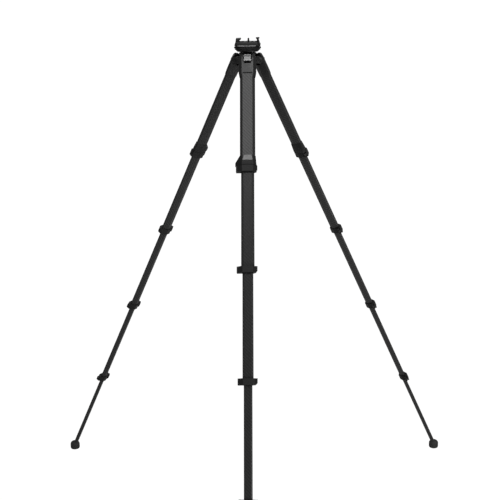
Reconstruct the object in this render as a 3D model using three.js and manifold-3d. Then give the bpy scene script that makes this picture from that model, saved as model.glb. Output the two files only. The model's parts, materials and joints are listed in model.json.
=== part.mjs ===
// A compact travel tripod: three folding legs of five telescoping tubes, a centre column,
// and a low ball head with an empty quick-release clamp. Millimetres, +Z up.
import * as THREE from "three";
import { mergeVertices } from "three/addons/utils/BufferGeometryUtils.js";
import { ConvexGeometry } from "three/addons/geometries/ConvexGeometry.js";
import Module from "manifold-3d";

const wasm = await Module();
wasm.setup();

// ---- driving dimensions -------------------------------------------------------------
const GAP = 0.35; // clearance between neighbouring pieces
const PIVOT_RADIUS = 23; // leg pivots, from the tripod's axis
const PIVOT_Z = 1244.4; // height of the leg pivots above the floor
const LEG_TILT = THREE.MathUtils.degToRad(26.93); // each leg from the vertical
const LEG_OUTSET = 6.5; // leg centre line, outward of its pivot
const LEGS = [
  ["front", 0],
  ["left", -120],
  ["right", 120],
];

// Tubes, widest first: tangential width, radial depth, wall, and the tube's ends down the leg.
const TUBES = [
  { width: 38.4, depth: 21.2, wall: 1.2, from: 31, to: 290 },
  { width: 32.8, depth: 18.0, wall: 1.2, from: 269, to: 547 },
  { width: 26.6, depth: 14.9, wall: 1.1, from: 526, to: 819 },
  { width: 20.8, depth: 12.0, wall: 1.0, from: 792, to: 1102 },
  { width: 14.8, depth: 9.3, wall: 1.0, from: 1072, to: 1384.5 },
];

// Locks: bottom edge down the leg, side wall, and how far the lever's finger tip reaches.
const LOCKS = [
  { at: 299, side: 3.2, tip: 24.2 },
  { at: 554, side: 4.0, tip: 23.6 },
  { at: 826.5, side: 4.8, tip: 23.0 },
  { at: 1109, side: 5.6, tip: 22.4 },
];
const LOCK_HEIGHT = 16.5;
const LOCK_FACE = 2.3; // collar wall over the tube's outer face
const FLARE_HEIGHT = 25; // the first collar also swells up the widest tube
const STRAP = 3.2; // lever thickness
const STRAP_FLAT = 0.27; // half the lever's flat face, as a share of its width
const STRAP_CHAMFER = 0.22; // end of its chamfer, as a share of its depth
const EAR_HEIGHT = 2.8;
const KNUCKLE_R = 3.4;
const HINGE_PIN_R = 1.2;
const HINGE_INSET = 3; // lever hinges, inward of the leg centre line

const FOOT_MID = 1385.5; // foot centre down the leg
const FOOT_R = 14.6;
const FOOT_HEIGHT = 24;

const YOKE_WIDTH = 44.6;
const YOKE_DEPTH = 22.8;
const YOKE_TOP = 14.5;
const YOKE_BOTTOM = 49.5;
const NOTCH_TOP = 38; // the outer plate stops here, and the cheeks run on
const NOTCH_HALF = 12.4;
const PLATE_INNER = -LEG_OUTSET - 8.8; // inner side of the plate that carries the latch
const EAR_INNER = 13.4; // half the gap between a yoke's ears
const EAR_R = 9;
const PIVOT_PIN_R = 4;
const LUG_HALF = 13;
const LUG_R = 8.5;
const LATCH_PIN = [0, -LEG_OUTSET - 10.9, 5.5];
const LATCH_PIN_R = 1.2;
const TAB_HALF = 8.2;
const TAB_TOP = 9.2; // low enough to pass under the head as the leg swings
const WINDOW_HALF = 12;

const COLUMN_R = 10.5;
const COLUMN_BOTTOM = -230; // from the pivot level
const HOOK_EYE_R = 7;
const HOOK_EYE_Z = -14.5; // from the column's end
const HUB_R = 15;
const HUB_TOP = 14;
const HUB_BOTTOM = -16;
const KNOB_Z = -9.5; // the column's clamp screw, under the widest part of the pivot ears
const KNOB_SCREW_R = 2.2;
const KNOB_GRIP = 39.5; // middle of the knob's grip, from the axis
const KNOB_LENGTH = 9;
const KNOB_LOBES = 6;
const BASE_R = 24.5; // corners of the plate under the ball, which fit between the legs
const BASE_BOTTOM = HUB_TOP + 0.4;
const BASE_TOP = 19.4;
const BALL_FOOT = 18.8;
const BALL_Z = 31; // ball centre above the pivot level
const BALL_R = 11;
const DECK_Z = 46.8; // seat of the clamp
const SOCKET_R = 18;
const RING_Z = 32.05; // middle of the lock ring
const RING_HEIGHT = 6;
const RING_LOBES = 12;
const JAW_HALF = 16; // half the sliding jaw's length
const JAW_ROOT = 26; // inner face of the sliding jaw's block
const JAW_TRAVEL = 5;
const GUIDES = [-14, 14];
const GUIDE_Z = 41.5;
const GUIDE_R = 1.2;
const GUIDE_TIP = 18.2;
const STOP_PIN = [2.8, -20.5];
const STOP_PIN_R = 2.3;
const STOP_PIN_FOOT = 42;
const CORNER_STEPS = 4; // facets of a clamp corner

// ---- materials ----------------------------------------------------------------------
const finish = (color, roughness, metalness) => () =>
  new THREE.MeshStandardMaterial({ color, roughness, metalness });
const carbon = finish(0x343436, 0.42, 0.1);
const anodised = finish(0x232325, 0.38, 0.7);
const greyCast = finish(0x8c8c8e, 0.4, 0.8);
const plastic = finish(0x19191a, 0.5, 0);
const rubber = finish(0x101011, 0.85, 0);
const steel = finish(0x9a9a9c, 0.25, 1);

// ---- solids -------------------------------------------------------------------------
function solid(geometry) {
  const bare = geometry.clone();
  bare.deleteAttribute("normal");
  bare.deleteAttribute("uv");
  const merged = mergeVertices(bare, 1e-3);
  const corners = merged.index.array;
  const kept = [];
  for (let i = 0; i < corners.length; i += 3) {
    const [a, b, c] = corners.slice(i, i + 3);
    if (a !== b && b !== c && c !== a) kept.push(a, b, c);
  }
  return new wasm.Manifold(
    new wasm.Mesh({
      numProp: 3,
      vertProperties: new Float32Array(merged.attributes.position.array),
      triVerts: new Uint32Array(kept),
    }),
  );
}

function geometryOf(body) {
  const mesh = body.getMesh();
  const geometry = new THREE.BufferGeometry();
  geometry.setAttribute("position", new THREE.BufferAttribute(mesh.vertProperties, 3));
  geometry.setIndex(new THREE.BufferAttribute(mesh.triVerts, 1));
  const faceted = geometry.toNonIndexed();
  faceted.computeVertexNormals();
  return faceted;
}

const join = (...bodies) => bodies.reduce((a, b) => a.add(b));
const cut = (body, ...tools) => tools.reduce((a, b) => a.subtract(b), body);

// A box between two corners.
function block(low, high) {
  const size = high.map((v, i) => v - low[i]);
  const middle = high.map((v, i) => (v + low[i]) / 2);
  return solid(new THREE.BoxGeometry(...size).translate(...middle));
}

// A round bar along one axis, centred on a point.
function bar(radius, length, axis, centre, sides = 20) {
  const geometry = new THREE.CylinderGeometry(radius, radius, length, sides);
  if (axis === "x") geometry.rotateZ(Math.PI / 2);
  if (axis === "z") geometry.rotateX(Math.PI / 2);
  return solid(geometry.translate(...centre));
}

// A closed outline in the XY plane, pulled up from one height to another.
function prism(points, bottom, top) {
  const shape = new THREE.Shape(points.map(([x, y]) => new THREE.Vector2(x, y)));
  const geometry = new THREE.ExtrudeGeometry(shape, {
    depth: top - bottom,
    bevelEnabled: false,
  });
  return solid(geometry.translate(0, 0, bottom));
}

// The convex body around outlines that lie at different heights.
function loft(...levels) {
  const points = levels.flatMap(([outline, z]) =>
    outline.map(([x, y]) => new THREE.Vector3(x, y, z)),
  );
  return solid(new ConvexGeometry(points));
}

// An outline in the XZ plane, pulled along Y.
function slab(points, from, to) {
  const shape = new THREE.Shape(points.map(([x, z]) => new THREE.Vector2(x, z)));
  const geometry = new THREE.ExtrudeGeometry(shape, {
    depth: to - from,
    bevelEnabled: false,
  });
  return solid(geometry.rotateX(Math.PI / 2).translate(0, to, 0));
}

// A turned body; the profile of [radius, height] runs anticlockwise, and closes on itself or on the axis.
function turned(profile, sides = 28) {
  const points = profile.map(([r, z]) => new THREE.Vector2(r, z));
  return solid(new THREE.LatheGeometry(points, sides).rotateX(Math.PI / 2));
}

function piece(name, body, material) {
  const mesh = new THREE.Mesh(geometryOf(body), material());
  mesh.name = name;
  return mesh;
}

// The leg section: a flat outer face, chamfers, the widest flanks, and a narrow inner face.
// Grown by a wall all round, and centred on the leg's centre line. The flat face and the
// chamfer's end are given as shares of the width and the depth.
function section(width, depth, side = 0, face = side, flat = 0.33, chamfer = 0.27) {
  const w = width + 2 * side;
  const d = depth + 2 * face;
  const right = [
    [flat * w, -0.5 * d],
    [0.5 * w, -chamfer * d],
    [0.5 * w, -0.08 * d],
    [0.2 * w, 0.5 * d],
  ];
  const left = right.map(([x, y]) => [-x, y]).reverse();
  return [...right, ...left].map(([x, y]) => [x, y - LEG_OUTSET]);
}

// ---- one leg, hanging straight down from its pivot, outward along -Y ----------------
function tube(index) {
  const { width, depth, wall, from, to } = TUBES[index];
  const outside = prism(section(width, depth), -to, -from);
  return cut(outside, prism(section(width, depth, -wall), -to - 1, -from + 1));
}

function lockShape(index) {
  const { at, side, tip } = LOCKS[index];
  const { width, depth } = TUBES[index];
  const hingeX = -(width / 2 + side + KNUCKLE_R + GAP);
  return { at, side, tip, width, depth, hingeX, hingeY: -LEG_OUTSET + HINGE_INSET };
}

function collar(index) {
  const { at, side, width, depth, hingeX, hingeY } = lockShape(index);
  const top = -at + LOCK_HEIGHT;
  const outline = section(width, depth, side, LOCK_FACE);
  let body = prism(outline, -at, top);
  if (index === 0) {
    const boss = [
      [hingeX - 5, hingeY - 3],
      [hingeX - 5, hingeY + 3],
    ];
    body = join(
      body,
      loft(
        [section(width, depth, 1), top + FLARE_HEIGHT],
        [[...section(width, depth, side - 1, LOCK_FACE), ...boss], top + 8],
        [[...section(width, depth, side, LOCK_FACE), ...boss], top],
      ),
    );
  }
  const inner = TUBES[index + 1];
  const shoulder = -TUBES[index].to - GAP;
  for (const z of [-at + EAR_HEIGHT / 2, top - EAR_HEIGHT / 2]) {
    const arm = block(
      [hingeX, hingeY - 2.4, z - EAR_HEIGHT / 2],
      [hingeX + 9, hingeY + 2.4, z + EAR_HEIGHT / 2],
    );
    body = join(body, arm, bar(KNUCKLE_R - 0.4, EAR_HEIGHT, "z", [hingeX, hingeY, z], 16));
  }
  body = cut(
    body,
    prism(section(width, depth, GAP), shoulder, top + FLARE_HEIGHT + 1),
    prism(section(inner.width, inner.depth, GAP), -at - 1, shoulder + 1),
  );
  const pin = bar(HINGE_PIN_R, LOCK_HEIGHT - 1, "z", [hingeX, hingeY, -at + LOCK_HEIGHT / 2], 12);
  return join(body, pin);
}

function lever(index) {
  const { at, side, tip, width, depth, hingeX, hingeY } = lockShape(index);
  const low = -at + 0.4;
  const high = -at + LOCK_HEIGHT - 0.4;
  const inside = prism(section(width, depth, side + GAP, LOCK_FACE + GAP), low - 1, high + 1);
  const wall = GAP + STRAP;
  const grown = section(width, depth, side + wall, LOCK_FACE + wall, STRAP_FLAT, STRAP_CHAMFER);
  const front = block([hingeX - KNUCKLE_R, -60, low], [tip, hingeY, high]);
  const strap = cut(prism(grown, low, high).intersect(front), inside);
  const finger = block([tip - 3, -LEG_OUTSET - 9, low], [tip, -LEG_OUTSET - 3.5, high]);
  const leaf = block([hingeX - KNUCKLE_R + 0.2, hingeY - 8, low], [hingeX + 5, hingeY, high]);
  // Nothing of the strap hooks behind the flanks, so it can turn past them.
  const swingRoom = block([hingeX + 3.3, hingeY - 5, low - 1], [60, hingeY + 10, high + 1]);
  const corner = slab(
    [
      [tip - 5, low - 1],
      [tip + 1, low - 1],
      [tip + 1, low + 6],
    ],
    -60,
    0,
  );
  const knuckle = bar(KNUCKLE_R, high - low, "z", [hingeX, hingeY, (low + high) / 2], 16);
  const ears = [
    [-at, -at + EAR_HEIGHT + GAP],
    [-at + LOCK_HEIGHT - EAR_HEIGHT - GAP, -at + LOCK_HEIGHT],
  ].map(([a, b]) =>
    block([hingeX - 5, hingeY - KNUCKLE_R - 0.6, a - 1], [hingeX + 9, hingeY + 6, b + 1]),
  );
  const bore = bar(HINGE_PIN_R + GAP, LOCK_HEIGHT + 2, "z", [hingeX, hingeY, (low + high) / 2], 12);
  const body = join(cut(strap, swingRoom), cut(join(finger, leaf), inside, swingRoom), knuckle);
  return cut(body, ...ears, bore, corner);
}

function yoke() {
  const shell = loft(
    [section(TUBES[0].width + 0.8, TUBES[0].depth + 0.4, 0.5), -YOKE_BOTTOM],
    [section(YOKE_WIDTH, YOKE_DEPTH), -NOTCH_TOP],
    [section(YOKE_WIDTH, YOKE_DEPTH), 2],
    [section(YOKE_WIDTH - 9, YOKE_DEPTH - 6), YOKE_TOP],
  );
  const fork = block([-EAR_INNER, PLATE_INNER, -14], [EAR_INNER, 30, 30]);
  const overEars = block([-30, -9, 0], [30, 30, 30]);
  const rounding = bar(EAR_R, YOKE_WIDTH, "x", [0, 0, 0], 24);
  const ears = cut(rounding, block([-EAR_INNER, -30, -30], [EAR_INNER, 30, 30]));
  const tubeSocket = prism(
    section(TUBES[0].width, TUBES[0].depth, GAP),
    -YOKE_BOTTOM - 5,
    -TUBES[0].from + GAP,
  );
  const notch = block(
    [-NOTCH_HALF, -40, -YOKE_BOTTOM - 5],
    [NOTCH_HALF, -LEG_OUTSET - 8, -NOTCH_TOP],
  );
  const window = block([-WINDOW_HALF, -40, -8.6], [WINDOW_HALF, PLATE_INNER + 1, YOKE_TOP + 1]);
  const recess = block([-TAB_HALF - 0.8, -40, -13.5], [TAB_HALF + 0.8, PLATE_INNER + 1, -8]);
  const pinBore = bar(PIVOT_PIN_R + GAP, YOKE_WIDTH + 2, "x", [0, 0, 0], 16);
  const latchPin = bar(LATCH_PIN_R, 2 * WINDOW_HALF + 1, "x", LATCH_PIN, 8);
  const body = join(cut(shell, overEars), ears);
  return join(cut(body, fork, tubeSocket, notch, window, recess, pinBore), latchPin);
}

function angleLatch() {
  const [, y] = LATCH_PIN;
  const tab = slab(
    [
      [-TAB_HALF, -7.5],
      [TAB_HALF, -7.5],
      [TAB_HALF + 0.8, TAB_TOP],
      [-TAB_HALF - 0.8, TAB_TOP],
    ],
    y - 1.8,
    y + 1.4,
  );
  const lip = block([-TAB_HALF - 1.4, y - 4.2, -8], [TAB_HALF + 1.4, y, -5]);
  const knuckle = bar(2.6, 2 * TAB_HALF, "x", LATCH_PIN, 12);
  const bore = bar(LATCH_PIN_R + GAP, 30, "x", LATCH_PIN, 8);
  return cut(join(tab, lip, knuckle), bore);
}

function foot() {
  const drum = turned([
    [0, -FOOT_HEIGHT / 2],
    [FOOT_R - 3.2, -FOOT_HEIGHT / 2],
    [FOOT_R - 1, -FOOT_HEIGHT / 2 + 1.6],
    [FOOT_R, -4],
    [FOOT_R, 4],
    [FOOT_R - 1.4, 7.5],
    [FOOT_R - 5, 10],
    [0, FOOT_HEIGHT / 2],
  ], 20);
  const mesh = new THREE.Mesh(geometryOf(drum));
  mesh.position.set(0, -LEG_OUTSET, -FOOT_MID);
  mesh.rotation.x = LEG_TILT;
  mesh.updateMatrix();
  const { width, depth, to } = TUBES[4];
  const placed = solid(mesh.geometry.applyMatrix4(mesh.matrix));
  return cut(placed, prism(section(width, depth, GAP), -to - GAP, -to + 60));
}

function leg(name, azimuth) {
  const swing = new THREE.Group();
  swing.position.set(0, -PIVOT_RADIUS, PIVOT_Z);
  swing.rotation.x = -LEG_TILT;
  swing.add(piece(`${name}_yoke`, yoke(), anodised));
  swing.add(piece(`${name}_angle_latch`, angleLatch(), greyCast));
  TUBES.forEach((_, i) => swing.add(piece(`${name}_tube_${i + 1}`, tube(i), carbon)));
  LOCKS.forEach((_, i) => {
    swing.add(piece(`${name}_collar_${i + 1}`, collar(i), plastic));
    swing.add(piece(`${name}_lever_${i + 1}`, lever(i), plastic));
  });
  swing.add(piece(`${name}_foot`, foot(), rubber));
  const turnedLeg = new THREE.Group();
  turnedLeg.rotation.z = THREE.MathUtils.degToRad(azimuth);
  turnedLeg.add(swing);
  return turnedLeg;
}

// ---- hub, column and head, heights from the pivot level -----------------------------
function hub() {
  let body = turned([
    [0, HUB_BOTTOM],
    [HUB_R - 1, HUB_BOTTOM],
    [HUB_R, HUB_BOTTOM + 1],
    [HUB_R, HUB_TOP - 1],
    [HUB_R - 1, HUB_TOP],
    [0, HUB_TOP],
  ]);
  for (const [, azimuth] of LEGS) {
    const lug = join(
      block([-LUG_HALF, -PIVOT_RADIUS, -LUG_R], [LUG_HALF, 0, LUG_R]),
      bar(LUG_R, 2 * LUG_HALF, "x", [0, -PIVOT_RADIUS, 0], 20),
      bar(PIVOT_PIN_R, YOKE_WIDTH - 2, "x", [0, -PIVOT_RADIUS, 0], 14),
    );
    body = join(body, lug.rotate([0, 0, azimuth]));
  }
  const knobBoss = bar(5, 7, "y", [0, 13.5, KNOB_Z], 16);
  const screwHole = bar(KNOB_SCREW_R + GAP, 40, "y", [0, 30, KNOB_Z], 12);
  return cut(join(body, knobBoss), bar(COLUMN_R + GAP, 60, "z", [0, 0, 0], 28), screwHole);
}

function centreColumn() {
  return bar(COLUMN_R, HUB_TOP - COLUMN_BOTTOM, "z", [0, 0, (HUB_TOP + COLUMN_BOTTOM) / 2], 36);
}

// A lobed grip on a screw whose tip stops just short of the column.
function columnKnob() {
  const stem = bar(KNOB_SCREW_R, 25, "y", [0, 23.5, 0], 12);
  let grip = bar(7, KNOB_LENGTH, "y", [0, KNOB_GRIP, 0], 18);
  for (let i = 0; i < KNOB_LOBES; i++) {
    const angle = (i * 2 * Math.PI) / KNOB_LOBES;
    const at = [6.2 * Math.cos(angle), KNOB_GRIP, 6.2 * Math.sin(angle)];
    grip = join(grip, bar(1.8, KNOB_LENGTH, "y", at, 8));
  }
  return join(stem, grip).translate([0, 0, KNOB_Z]);
}

function ballastHook() {
  const plug = turned([
    [0, -8],
    [4, -8],
    [8.5, -5],
    [8.5, 0],
    [0, 0],
  ], 20);
  const eye = new THREE.TorusGeometry(HOOK_EYE_R, 1.8, 8, 20);
  eye.rotateX(Math.PI / 2).translate(0, 0, HOOK_EYE_Z);
  return join(plug, solid(eye)).translate([0, 0, COLUMN_BOTTOM - GAP]);
}

// A plate whose three corners lie between the legs, with a round seat for the ball's foot.
function headBase() {
  const outline = (radius) =>
    [-155, -145, -35, -25, 85, 95].map((degrees) => {
      const angle = THREE.MathUtils.degToRad(degrees);
      return [radius * Math.cos(angle), radius * Math.sin(angle)];
    });
  const plate = loft(
    [outline(BASE_R - 1), BASE_BOTTOM],
    [outline(BASE_R), BASE_BOTTOM + 1],
    [outline(BASE_R), BASE_TOP - 1],
    [outline(BASE_R - 1.4), BASE_TOP],
  );
  return cut(plate, bar(10, 2, "z", [0, 0, BALL_FOOT + 0.6], 28));
}

function ball() {
  const profile = [
    [0, BALL_FOOT],
    [6, BALL_FOOT],
  ];
  const start = Math.asin(6 / BALL_R);
  for (let i = 0; i <= 9; i++) {
    const angle = start + ((Math.PI - start) * i) / 9;
    profile.push([Math.max(0, BALL_R * Math.sin(angle)), BALL_Z - BALL_R * Math.cos(angle)]);
  }
  return turned(profile, 20);
}

function ballSocket() {
  const inside = BALL_R + 2 * GAP;
  const profile = [];
  for (let i = 0; i <= 6; i++) {
    const angle = Math.PI / 3 + ((Math.PI * 2) / 3) * (i / 6);
    profile.push([Math.max(0, inside * Math.sin(angle)), BALL_Z - inside * Math.cos(angle)]);
  }
  profile.push([0, 44], [SOCKET_R, 44], [SOCKET_R, profile[0][1]], profile[0]);
  return turned(profile.reverse(), 24);
}

function adjustingRing() {
  return turned([
    [SOCKET_R + GAP, 28.7],
    [SOCKET_R + GAP, 24.6],
    [12, 22.4],
    [12, 20.8],
    [14, 20.8],
    [18, 21.6],
    [27, 21.6],
    [29.6, 24],
    [29.6, 25],
    [33, 26.4],
    [33, 28.7],
    [SOCKET_R + GAP, 28.7],
  ]);
}

function lockRing() {
  let ring = bar(32.2, RING_HEIGHT, "z", [0, 0, RING_Z], 36);
  for (let i = 0; i < RING_LOBES; i++) {
    const angle = (i * 2 * Math.PI) / RING_LOBES;
    const at = [30.6 * Math.cos(angle), 30.6 * Math.sin(angle), RING_Z];
    ring = join(ring, bar(4.2, RING_HEIGHT, "z", at, 10));
  }
  return cut(ring, bar(SOCKET_R + 2 * GAP, 20, "z", [0, 0, RING_Z], 24));
}

// A rectangle with round corners.
function softRectangle(width, depth, radius) {
  const points = [];
  const corners = [
    [1, 1, 0],
    [-1, 1, 90],
    [-1, -1, 180],
    [1, -1, 270],
  ];
  for (const [sx, sy, start] of corners) {
    for (let i = 0; i <= CORNER_STEPS; i++) {
      const angle = THREE.MathUtils.degToRad(start + (i * 90) / CORNER_STEPS);
      const x = sx * (width / 2 - radius) + radius * Math.cos(angle);
      points.push([x, sy * (depth / 2 - radius) + radius * Math.sin(angle)]);
    }
  }
  return points;
}

function clampBody() {
  const body = loft(
    [softRectangle(62, 50, 8), 35.4],
    [softRectangle(66, 54, 8), 37],
    [softRectangle(66, 54, 8), 40],
    [softRectangle(61, 50, 6), DECK_Z],
  );
  const fixedJaw = slab(
    [
      [-30.4, DECK_Z - 1],
      [-20.5, DECK_Z - 1],
      [-20.5, 50.6],
      [-16.4, 53.6],
      [-17.2, 55.2],
      [-29.4, 54.6],
    ],
    -22,
    22,
  );
  const pocket = bar(SOCKET_R + GAP, 44.4 - 30, "z", [0, 0, (44.4 + 30) / 2], 24);
  const recessFace = JAW_ROOT - JAW_TRAVEL - 2 * GAP;
  const recess = block([recessFace, -JAW_HALF - GAP, 36.5], [60, JAW_HALF + GAP, 60]);
  const boreFrom = GUIDE_TIP - JAW_TRAVEL - GAP;
  const bores = GUIDES.map((y) =>
    bar(GUIDE_R + GAP, 16, "x", [boreFrom + 8, y, GUIDE_Z], 12),
  );
  const stopBore = bar(STOP_PIN_R + GAP, 20, "z", [...STOP_PIN, STOP_PIN_FOOT + 5.5], 16);
  return cut(join(body, fixedJaw), pocket, recess, ...bores, stopBore);
}

function slidingJaw() {
  const claw = slab(
    [
      [JAW_ROOT, 37],
      [32.6, 37],
      [32.6, 41],
      [30.4, DECK_Z],
      [28.6, 54.4],
      [31, 55.4],
      [30.4, 57],
      [21.4, 56.6],
      [22.2, 54.8],
      [24.2, 52.6],
      [24.2, DECK_Z + GAP],
      [JAW_ROOT, DECK_Z + GAP],
    ],
    -JAW_HALF,
    JAW_HALF,
  );
  const reach = JAW_ROOT + 1 - GUIDE_TIP;
  const guides = GUIDES.map((y) => bar(GUIDE_R, reach, "x", [GUIDE_TIP + reach / 2, y, GUIDE_Z], 12));
  return join(claw, ...guides);
}

function stopPin() {
  return turned([
    [0, STOP_PIN_FOOT],
    [STOP_PIN_R, STOP_PIN_FOOT],
    [STOP_PIN_R, 56.6],
    [STOP_PIN_R - 0.7, 57.4],
    [0, 57.4],
  ], 12).translate([...STOP_PIN, 0]);
}

// ---- assembly -----------------------------------------------------------------------
const tripod = new THREE.Group();
for (const [name, azimuth] of LEGS) tripod.add(leg(name, azimuth));

const centre = new THREE.Group();
centre.position.z = PIVOT_Z;
centre.add(piece("hub", hub(), anodised));
centre.add(piece("centre_column", centreColumn(), carbon));
centre.add(piece("column_knob", columnKnob(), rubber));
centre.add(piece("ballast_hook", ballastHook(), steel));
centre.add(piece("head_base", headBase(), anodised));
centre.add(piece("ball", ball(), steel));
centre.add(piece("ball_socket", ballSocket(), plastic));
centre.add(piece("adjusting_ring", adjustingRing(), anodised));
centre.add(piece("lock_ring", lockRing(), rubber));
centre.add(piece("clamp_body", clampBody(), anodised));
centre.add(piece("sliding_jaw", slidingJaw(), anodised));
centre.add(piece("stop_pin", stopPin(), steel));
tripod.add(centre);

// The origin is at the middle of the bounding box's bottom face.
tripod.updateMatrixWorld(true);
const bounds = new THREE.Box3().setFromObject(tripod, true);
const middle = bounds.getCenter(new THREE.Vector3());
tripod.position.set(-middle.x, -middle.y, -bounds.min.z);

const root = new THREE.Group();
root.add(tripod);
export default root;
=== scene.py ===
"""A compact travel tripod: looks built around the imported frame. Leg pieces are drawn in
millimetres in their leg's own axes: x across the leg, -y outward, z up the leg, from its pivot."""

import json
import math

import bmesh
import bpy
from mathutils import Matrix, Vector


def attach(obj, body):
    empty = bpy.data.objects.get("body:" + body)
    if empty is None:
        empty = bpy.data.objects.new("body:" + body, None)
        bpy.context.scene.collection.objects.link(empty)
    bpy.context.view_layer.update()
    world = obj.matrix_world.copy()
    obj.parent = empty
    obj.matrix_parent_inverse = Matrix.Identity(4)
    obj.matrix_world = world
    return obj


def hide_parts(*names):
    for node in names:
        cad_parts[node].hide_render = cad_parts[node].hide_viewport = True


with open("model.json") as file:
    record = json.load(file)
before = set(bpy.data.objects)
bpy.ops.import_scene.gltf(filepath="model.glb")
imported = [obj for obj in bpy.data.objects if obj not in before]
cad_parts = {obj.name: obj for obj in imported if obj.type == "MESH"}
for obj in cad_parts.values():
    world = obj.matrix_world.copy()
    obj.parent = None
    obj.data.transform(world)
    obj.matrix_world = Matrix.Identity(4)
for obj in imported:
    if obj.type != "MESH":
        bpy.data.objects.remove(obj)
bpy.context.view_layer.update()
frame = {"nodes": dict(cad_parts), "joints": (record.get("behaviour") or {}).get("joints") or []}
NODES = frame["nodes"]
JOINTS = {j["name"]: j for j in frame["joints"]}
LEGS = ("front", "left", "right")
SECTIONS = (1, 2, 3, 4, 5)
LOCKS = (1, 2, 3, 4)
MM = 0.001
AXIS = 0.02  # radius that stands for a point on a turned piece's axis

# ---- sizes shared with the CAD, in millimetres ---------------------------------------
LEG_OUTSET = 6.5  # from the leg's pivot out to its tubes' centre line
GAP = 0.35  # play between neighbouring pieces
WALLS = (1.2, 1.2, 1.1, 1.0, 1.0)  # tube walls, from the widest tube down
LOCK_HEIGHT = 16.5
STRAP = 3.2  # lever thickness
STRAP_FLAT = 0.27  # half the lever's flat face, as a share of its width
STRAP_CHAMFER = 0.22  # end of its chamfer, as a share of its depth
NOTCH_TOP = 38.0  # lower edge of the yoke's outer plate, below the pivot
NOTCH_HALF = 12.4
BALL_Z = 31.0
BALL_R = 11.0
SOCKET_R = 18.35
DECK = 46.5  # top of the clamp's deck

# ---- detail sizes, in millimetres ----------------------------------------------------
TUBE_CORNER_R = 2.2
BORE_CORNER_R = 1.4
CORNER_STEPS = 5
FACE_REACH = 0.1  # how far in a point may lie and still be on the flat outer face


# ---- frames -------------------------------------------------------------------------
def leg_matrix(leg):
    """Millimetres in the leg's own axes to metres in the row frame."""
    swing = JOINTS[f"{leg}_leg_swing"]
    across = -Vector(swing["axis"])
    up = Vector(JOINTS[f"{leg}_section_2_slide"]["axis"])
    inward = up.cross(across)
    turn = Matrix((across, inward, up)).transposed().to_4x4()
    return Matrix.Translation(swing["pos_m"]) @ turn @ Matrix.Scale(MM, 4)


def head_matrix():
    """Millimetres on the tripod's axis, from the leg pivots' level, to the row frame."""
    x, y, _ = JOINTS["head_tilt"]["pos_m"]
    level = JOINTS["front_leg_swing"]["pos_m"][2]
    return Matrix.Translation((x, y, level)) @ Matrix.Scale(MM, 4)


LEG = {leg: leg_matrix(leg) for leg in LEGS}
HEAD = head_matrix()
KNOB_Z = (HEAD.inverted() @ Vector(JOINTS["column_knob_turn"]["pos_m"])).z


def local_box(node, place):
    """A CAD node's lowest and highest corners in the given axes."""
    back = place.inverted()
    points = [back @ v.co for v in NODES[node].data.vertices]
    low = Vector([min(p[i] for p in points) for i in range(3)])
    high = Vector([max(p[i] for p in points) for i in range(3)])
    return low, high


# ---- node helpers -------------------------------------------------------------------
class Graph:
    """A small wrapper that adds shader nodes and links them."""

    def __init__(self, name):
        self.material = bpy.data.materials.new(name)
        self.material.use_nodes = True
        self.tree = self.material.node_tree
        self.shader = self.tree.nodes["Principled BSDF"]

    def add(self, kind, **settings):
        node = self.tree.nodes.new(kind)
        for key, value in settings.items():
            setattr(node, key, value)
        return node

    def link(self, output, target):
        """Joins two sockets, or puts a plain number on the second."""
        if isinstance(output, (int, float)):
            is_colour = target.type == "RGBA"
            target.default_value = (output, output, output, 1.0) if is_colour else output
        else:
            self.tree.links.new(output, target)

    def math(self, operation, a, b=0.0):
        node = self.add("ShaderNodeMath", operation=operation)
        self.link(a, node.inputs[0])
        self.link(b, node.inputs[1])
        return node.outputs[0]

    def noise(self, scale, detail, rough, vector=None):
        """Soft noise from 0 to 1, on the object's own place unless a vector is given."""
        node = self.add("ShaderNodeTexNoise")
        node.inputs["Scale"].default_value = scale
        node.inputs["Detail"].default_value = detail
        node.inputs["Roughness"].default_value = rough
        self.link(vector or self.place(), node.inputs["Vector"])
        return node.outputs["Fac"]

    def place(self):
        """The surface point in the object's own axes."""
        return self.add("ShaderNodeTexCoord").outputs["Object"]

    def ramp(self, value, first, last):
        """Greys between two stops, each a place from 0 to 1 and a grey."""
        node = self.add("ShaderNodeValToRGB")
        for element, (at, grey) in zip(node.color_ramp.elements, (first, last)):
            element.position = at
            element.color = (grey, grey, grey, 1.0)
        self.link(value, node.inputs["Fac"])
        return node.outputs["Color"]

    def spread(self, value, low, high):
        """A value from 0 to 1 stretched over a range."""
        node = self.add("ShaderNodeMapRange")
        self.link(value, node.inputs["Value"])
        node.inputs["To Min"].default_value = low
        node.inputs["To Max"].default_value = high
        return node.outputs["Result"]

    def mix(self, factor, a, b):
        """From a to b as the factor goes from 0 to 1."""
        node = self.add("ShaderNodeMixRGB")
        self.link(factor, node.inputs["Fac"])
        self.link(a, node.inputs["Color1"])
        self.link(b, node.inputs["Color2"])
        return node.outputs["Color"]

    def edges(self, low=0.515, high=0.56):
        """1 on worn convex edges, 0 elsewhere."""
        point = self.add("ShaderNodeNewGeometry").outputs["Pointiness"]
        return self.ramp(point, (low, 0.0), (high, 1.0))

    def bump(self, height, strength, distance):
        """Relief on the shader from a height and its depth in metres."""
        node = self.add("ShaderNodeBump")
        node.inputs["Strength"].default_value = strength
        node.inputs["Distance"].default_value = distance
        self.link(height, node.inputs["Height"])
        self.link(node.outputs["Normal"], self.shader.inputs["Normal"])

    def set(self, **values):
        """Sets the shader's sockets by name, and gives the finished material."""
        for name, value in values.items():
            socket = self.shader.inputs[name.replace("_", " ")]
            if isinstance(value, (int, float)):
                socket.default_value = value
            else:
                self.tree.links.new(value, socket)
        return self.material


# ---- materials ----------------------------------------------------------------------
TOW_WIDTH = 0.0021  # metres
TWILL_REPEAT = 4.0  # tows
FILAMENT_SCALE = (9000, 1100, 1)  # streaks per metre across and along a tow


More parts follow.
